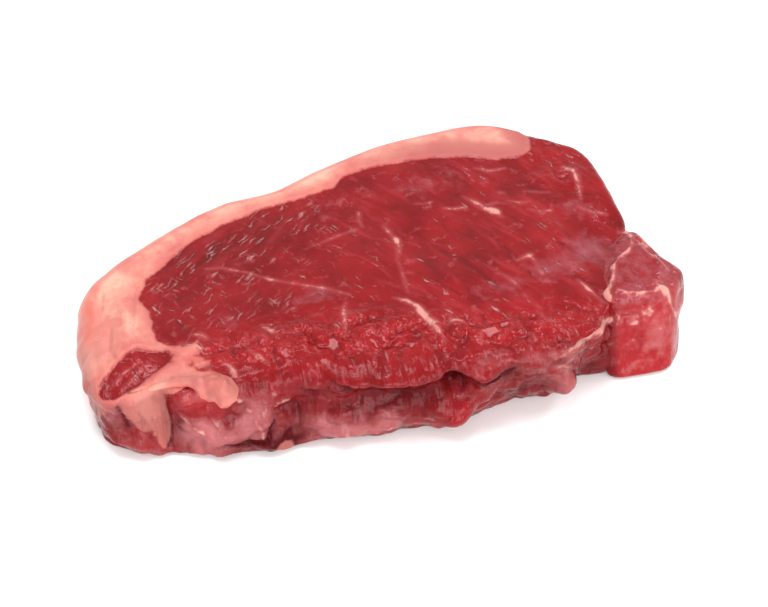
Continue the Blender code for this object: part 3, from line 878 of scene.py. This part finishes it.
# The side muscle: the tip of a small round muscle beside the loin, still held to the slab by a
# seam of fat, and cut through with it above and below. Its near end is a smooth wet lobe.
SIDE_MUSCLE_OUTLINE = [
    (62.6, -26.5, 25.8, 2.0, -0.5),
    (61.4, -31.0, 26.0, 1.5, 0.0),
    (62.2, -34.4, 26.3, 1.8, 0.0),
    (66.5, -35.2, 26.6, 2.4, 0.5),
    (78.0, -35.3, 26.5, 3.0, 0.5),
    (84.8, -31.8, 25.5, 4.5, 1.0),
    (88.8, -24.8, 25.0, 5.0, -0.5),
    (83.5, -14.3, 25.5, 4.0, 0.5),
    (78.6, -5.6, 25.8, 2.5, -1.0),
    (70.0, -8.8, 25.8, 3.0, -1.0),
    (63.0, -20.8, 25.8, 3.0, -1.0),
]
SIDE_MUSCLE_SPINE = ((72.0, -22.8), (78.0, -20.8))
TIP_COLUMNS = 240
TIP_RINGS = (36, 12, 60, 4, 8)

# Fat on its cut face, as x, y and half width, and a vein on its lobe, as x, height and half width.
SEAM_FAT = [
    [(76.5, -5.1, 1.0), (77.0, -10.1, 1.0), (76.0, -13.8, 0.6), (74.0, -16.5, 0.5)],
    [(74.0, -16.5, 0.5), (70.2, -18.6, 0.7), (67.6, -21.4, 0.5), (65.7, -26.1, 0.7)],
    [(65.7, -26.1, 0.7), (63.4, -28.6, 1.1), (61.8, -30.6, 1.3), (61.7, -34.5, 1.2)],
    [(65.4, -31.2, 0.6), (68.0, -33.2, 0.8), (71.4, -34.2, 0.6), (75.5, -34.2, 0.7)],
    [(75.5, -34.2, 0.7), (77.9, -33.2, 1.2), (79.9, -34.4, 1.0)],
    [(79.0, -9.5, 0.2), (81.0, -13.5, 0.4), (83.4, -17.0, 0.2)],
    [(76.8, -12.0, 0.3), (79.4, -13.6, 0.4), (81.6, -15.6, 0.1)],
    [(80.0, -21.0, 0.2), (81.0, -20.4, 0.5)],
]
LOBE_VEINS = [
    [(80.1, 25.4, 0.5), (81.4, 19.6, 0.4), (82.9, 15.0, 0.5), (84.6, 9.0, 0.3), (85.6, 5.0, 0.1)],
]

# x, y and z are views of the grid here too.
tip, tip_out, tip_step = slab_grid(
    SIDE_MUSCLE_OUTLINE, SIDE_MUSCLE_SPINE, TIP_COLUMNS, TIP_RINGS
)
x, y, z = np.moveaxis(tip, -1, 0)
upper = grow(z, 12.0, 24.0)
wall = grow(z, 25.0, 23.0)
lobe = wall * grow(y, -29.0, -32.0)
seam = in_veins(SEAM_FAT, x, y)
veins = seam + (in_veins(LOBE_VEINS, x, z) - seam) * lobe
push = 0.6 * wander(tip, (8.0, 8.0, 8.0), 21) + 0.25 * wander(tip, (3.0, 3.0, 3.0), 22)
push += 0.8 * np.abs(wander(tip, (6.0, 6.0, 8.0), 23)) - 0.3
lift = bells(FACE_RELIEF, x, y) + 0.4 * wander(tip, 6.0, 24) + 0.2 * wander(tip, 2.6, 25)
lift += 0.5 * unit(seam + 0.5)

# Crumbs of fat along the lobe's top edge, the lobe's belly, and a swelling at its left corner.
crumbs = bell((x, 69.5, 7.0), (z, 21.0, 5.5)) * lobe
veins = np.maximum(veins, 1.5 * crumbs - 1.25 + 0.9 * wander(tip, 1.0, 29))
push += crumbs * (0.8 * wander(tip, 2.6, 26) + 0.5 * unit(veins + 0.5))
push += 1.6 * bell((x, 75.0, 5.0), (z, 12.0, 8.0)) * lobe
push += 3.0 * bell((x, 62.0, 2.5), (y, -32.0, 4.0), (z, 16.0, 6.0))
tip[..., :2] += tip_out * (push * wall_rows(tip, TIP_RINGS))[..., None]
tip[..., 2] += lift * upper

# The lobe slumps out over the ground at its foot. It has painted shade along its left edge, in the
# cleft beside the slab, and it is filmy along its right one.
slump = grow(y, -30.0, -33.5) * grow(x, 88.5, 80.5)
tip[..., 1] -= 6.5 * slump * unit(1.0 - z / 24.0) ** 1.3
cleft_shade = wall * grow(y, -24.0, -27.0) * np.minimum(grow(x, 65.0, 62.0), 0.7)
right_band = wall * grow(x, 81.0, 83.5) * grow(y, -24.0, -26.0)
face = upper * (1.0 - wall)
side_muscle = skin(
    "side_muscle",
    tip,
    tip_step,
    {
        "lean": np.full(x.shape, 6.0),
        "vein": np.clip(veins + 0.1 + 0.8 * wander(tip, 2.4, 27), -3.0, 2.0),
        "ridged": 0.0 * x,
        "ragged": 0.0 * x,
        "dusky_and_shade": cleft_shade + 0.35 * right_band - 0.3 * lobe,
        "bright": unit(lobe + 0.5 * face),
        "filmy_and_sheen": unit(
            0.1 * lobe
            + 0.45 * right_band
            + 0.45 * face
            + 0.5 * bell((x, 76.0, 4.0), (z, 13.0, 7.0))
        ),
        "hung": 1.0 * wall,
        "wet": 0.4 * lobe,
    },
)
side_muscle.data.materials.append(beef)
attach(side_muscle, "root")
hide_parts("steak")

# The fat fold: a tongue of fat that the trimming left loose along the near rim, folded down over
# the corner and thickened to a knob at its free end. Each station is x, y, height and radius.
FAT_TONGUE = [
    (-76.0, -30.2, 21.2, 0.5),
    (-73.0, -31.0, 22.6, 1.0),
    (-69.0, -31.8, 24.2, 1.4),
    (-64.0, -33.2, 25.8, 1.5),
    (-60.0, -35.0, 26.4, 2.0),
    (-56.8, -37.2, 25.6, 3.6),
    (-53.8, -38.5, 24.6, 4.5),
    (-50.9, -39.4, 24.0, 3.9),
    (-49.0, -40.0, 23.6, 1.6),
]
TONGUE_ROWS, TONGUE_COLUMNS = 160, 72


def open_curve(stations, count):
    """A smooth open run of count points through the stations: Catmull-Rom on every column, with
    the first and the last station repeated."""
    p = np.array([stations[0], *stations, stations[-1]])
    t = np.linspace(0.0, len(stations) - 1.0, count)
    k = np.minimum(t.astype(int), len(stations) - 2)
    return catmull_rom(*(p[k + shift] for shift in range(4)), (t - k)[:, None])


def tube_grid(stations, count, around):
    """The skin of a tube along the stations, whose fourth value is its radius: a circle square to
    the run at each point, and the run's first and last points to close it."""
    run = open_curve(stations, count)
    path, radius = run[:, :3], run[:, 3]
    ahead = np.gradient(path, axis=0)
    ahead /= np.linalg.norm(ahead, axis=1, keepdims=True)
    side = np.cross(ahead, (0.0, 0.0, 1.0))
    side /= np.linalg.norm(side, axis=1, keepdims=True)
    up = np.cross(side, ahead)
    angle = np.linspace(0.0, 2.0 * math.pi, around, endpoint=False)
    radius[0] = radius[-1] = 0.0
    round_it = np.cos(angle)[:, None] * side[:, None] + np.sin(angle)[:, None] * up[:, None]
    return path[:, None] + radius[:, None, None] * round_it


fold = tube_grid(FAT_TONGUE, TONGUE_ROWS, TONGUE_COLUMNS)
x, y, z = np.moveaxis(fold, -1, 0)
middle = fold.mean(1, keepdims=True)
swell = 0.3 * wander(fold, 4.0, 31) + 0.12 * wander(fold, 1.8, 32)
swell += 0.4 * np.abs(wander(fold, 5.0, 33)) - 0.15
fold = middle + (fold - middle) * (1.0 + swell)[..., None]
fat_fold = skin(
    "fat_fold",
    fold,
    np.zeros(TONGUE_COLUMNS),
    {
        "lean": np.full(x.shape, -6.0),
        "vein": np.full(x.shape, -3.0),
        "ridged": 0.0 * x,
        "ragged": 0.0 * x,
        "dusky_and_shade": unit(0.55 + 0.5 * wander(fold, 3.0, 35) - 0.3 * (x < -58.0)),
        "bright": unit(0.5 + (middle[..., 2] - z) * grow(x, -57.0, -60.0)),
        "filmy_and_sheen": unit(0.5 + 0.6 * wander(fold, 5.0, 34)),
        "hung": 0.0 * x,
        "wet": 0.0 * x,
    },
)
fat_fold.data.materials.append(beef)
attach(fat_fold, "root")
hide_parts("steak")

# Floor and light: a plain white card, one broad soft light overhead, one at the right and one low
# in front, and a pale room all round.
floor = bpy.data.objects.new("floor", bpy.data.meshes.new("floor"))
floor.data.from_pydata([(-3, -3, 0), (3, -3, 0), (3, 3, 0), (-3, 3, 0)], [], [(0, 1, 2, 3)])
floor.location.z = -0.0002
bpy.context.collection.objects.link(floor)
floor_white = bpy.data.materials.new("white_card")
floor_white.use_nodes = True
card = floor_white.node_tree.nodes["Principled BSDF"]
card.inputs["Base Color"].default_value = linear("FAFAFA")
card.inputs["Roughness"].default_value = 0.9
floor.data.materials.append(floor_white)
for name, place, size, power in (
    ("overhead_softbox", (-0.1, 0.05, 0.9), 0.38, 4.0),
    ("right_softbox", (0.68, 0.1, 0.62), 0.26, 2.2),
    ("front_fill", (0.05, -0.9, 0.4), 0.7, 8.0),
):
    light = bpy.data.objects.new(name, bpy.data.lights.new(name, "AREA"))
    light.data.size = size
    light.data.energy = power
    light.location = place
    light.rotation_mode = "QUATERNION"
    light.rotation_quaternion = Vector(place).to_track_quat("Z", "Y")
    bpy.context.collection.objects.link(light)
world = bpy.data.worlds.new("white_room")
bpy.context.scene.world = world
world.use_nodes = True
world.node_tree.nodes["Background"].inputs["Color"].default_value = (1.0, 1.0, 1.0, 1.0)
world.node_tree.nodes["Background"].inputs["Strength"].default_value = 0.92
